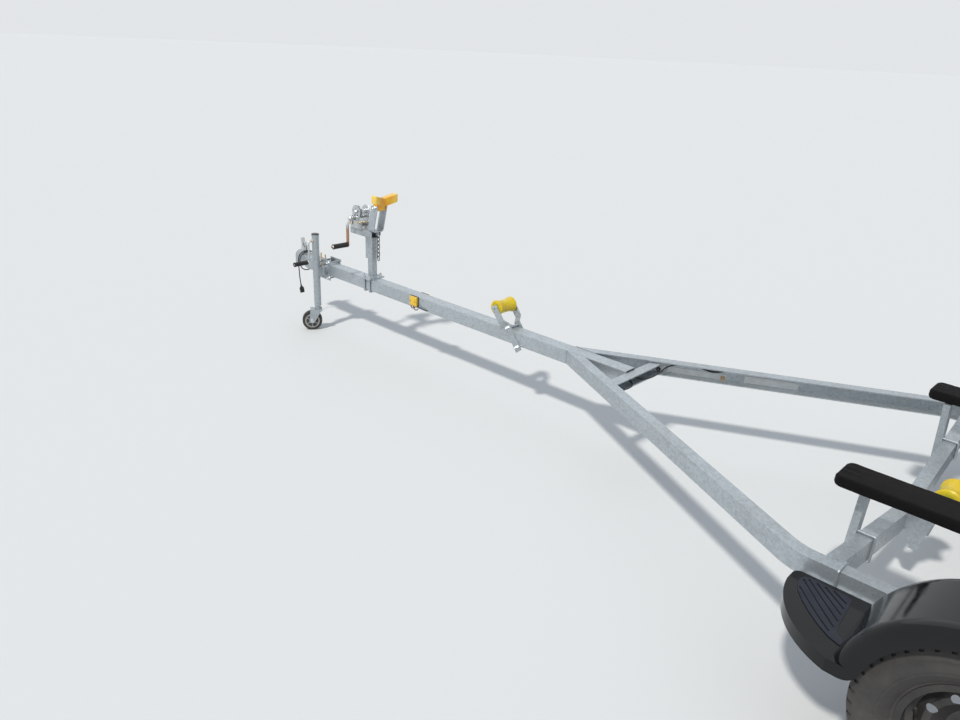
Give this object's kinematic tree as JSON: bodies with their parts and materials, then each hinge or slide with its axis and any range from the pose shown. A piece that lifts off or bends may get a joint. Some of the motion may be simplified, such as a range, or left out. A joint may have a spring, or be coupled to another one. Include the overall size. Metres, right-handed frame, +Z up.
{
  "type": "boat trailer",
  "caption": "Single-axle boat trailer with a V of channel rails, carpeted bunks, keel rollers, winch stand, tongue jack and moulded fenders.",
  "frame": {"origin": "on the ground under the centre of the trailer's outline", "axes": "+X forward to the coupler, +Y to the port side, +Z up"},
  "size_m": [5.83, 2.3, 0.9798],
  "materials": {
    "galvanized": "hot-dip galvanized, dull spangled",
    "zinc": "bright zinc plated",
    "painted_steel": "black paint",
    "white_steel": "galvanized pressed wheel",
    "rubber": "matt tyre rubber",
    "black_plastic": "glossy moulded plastic",
    "yellow_poly": "translucent glossy",
    "carpet": "marine carpet over timber",
    "amber_lens": "moulded lens",
    "red_lens": "moulded lens",
    "cable": "matt sheath"
  },
  "bodies": {
    "frame": {"axle": "galvanized", "bow_chain": "zinc", "bow_stop": "yellow_poly", "bow_stop_arms": "galvanized", "bunk_left": "carpet", "bunk_posts": "galvanized", "bunk_right": "carpet", "coupler": "zinc", "coupler_latch": "zinc", "crossmember_front": "galvanized", "crossmember_rear": "galvanized", "fender_brackets": "galvanized", "fender_left": "black_plastic", "fender_right": "black_plastic", "front_tie": "galvanized", "jack_mount": "galvanized", "keel_bracket_front": "galvanized", "keel_bracket_rear": "galvanized", "lamp_brackets": "galvanized", "lead_gland": "rubber", "leaf_springs": "painted_steel", "rail_clamps": "galvanized", "side_markers": "amber_lens", "side_rail_left": "galvanized", "side_rail_right": "galvanized", "spring_hangers": "galvanized", "spring_seats": "galvanized", "stand_clamps": "galvanized", "tail_lamps": "red_lens", "tongue": "galvanized", "tongue_roller_bracket": "galvanized", "winch_arm": "galvanized", "winch_frame": "zinc", "winch_post": "galvanized", "wiring_lead": "cable", "wiring_plug": "cable"},
    "wheel_left": {"tyre_left": "rubber", "rim_left": "white_steel", "hub_left": "painted_steel"},
    "wheel_right": {"tyre_right": "rubber", "rim_right": "white_steel", "hub_right": "painted_steel"},
    "jack": {"jack_tube": "galvanized", "jack_crank": "zinc"},
    "jack_slider": {"jack_leg": "galvanized"},
    "caster": {"caster_fork": "galvanized"},
    "caster_roller": {"caster_wheel": "rubber"},
    "winch_reel": {"winch_drum": "zinc"},
    "winch_handle": {"winch_crank": "zinc"},
    "roller_tongue": {"tongue_roller": "yellow_poly"},
    "roller_front": {"keel_roller_front": "yellow_poly"},
    "roller_rear": {"keel_roller_rear": "yellow_poly"}
  },
  "joints": [
    {"name": "wheel_left_spin", "type": "hinge", "parent": "frame", "child": "wheel_left", "pos_m": [-1.572, 1.03, 0.2985], "axis": [0, 1, 0], "continuous": true},
    {"name": "wheel_right_spin", "type": "hinge", "parent": "frame", "child": "wheel_right", "pos_m": [-1.572, -1.03, 0.2985], "axis": [0, 1, 0], "continuous": true},
    {"name": "jack_swing", "type": "hinge", "parent": "frame", "child": "jack", "pos_m": [2.535, 0.085, 0.404], "axis": [0, 1, 0], "range_deg": [0, 90]},
    {"name": "jack_travel", "type": "slide", "parent": "jack", "child": "jack_slider", "axis": [0, 0, -1], "range_m": [-0.012, 0.25]},
    {"name": "caster_swivel", "type": "hinge", "parent": "jack_slider", "child": "caster", "pos_m": [2.535, 0.112, 0.14], "axis": [0, 0, 1], "range_deg": [-66, 134]},
    {"name": "caster_spin", "type": "hinge", "parent": "caster", "child": "caster_roller", "pos_m": [2.55737, 0.14516, 0.065], "axis": [-0.829, 0.5592, 0], "continuous": true},
    {"name": "winch_drum_spin", "type": "hinge", "parent": "frame", "child": "winch_reel", "pos_m": [2.182, 0, 0.846], "axis": [0, 1, 0], "continuous": true},
    {"name": "winch_crank_spin", "type": "hinge", "parent": "frame", "child": "winch_handle", "pos_m": [2.21767, 0, 0.80349], "axis": [0, 1, 0], "continuous": true},
    {"name": "tongue_roller_spin", "type": "hinge", "parent": "frame", "child": "roller_tongue", "pos_m": [0.97, 0, 0.543], "axis": [0, 1, 0], "continuous": true},
    {"name": "keel_roller_front_spin", "type": "hinge", "parent": "frame", "child": "roller_front", "pos_m": [-1.225, 0, 0.388], "axis": [0, 1, 0], "continuous": true},
    {"name": "keel_roller_rear_spin", "type": "hinge", "parent": "frame", "child": "roller_rear", "pos_m": [-2.74, 0, 0.388], "axis": [0, 1, 0], "continuous": true}
  ],
  "couplings": [
    {"joint": "winch_crank_spin", "follows": "winch_drum_spin", "ratio": -2.6667}
  ]
}
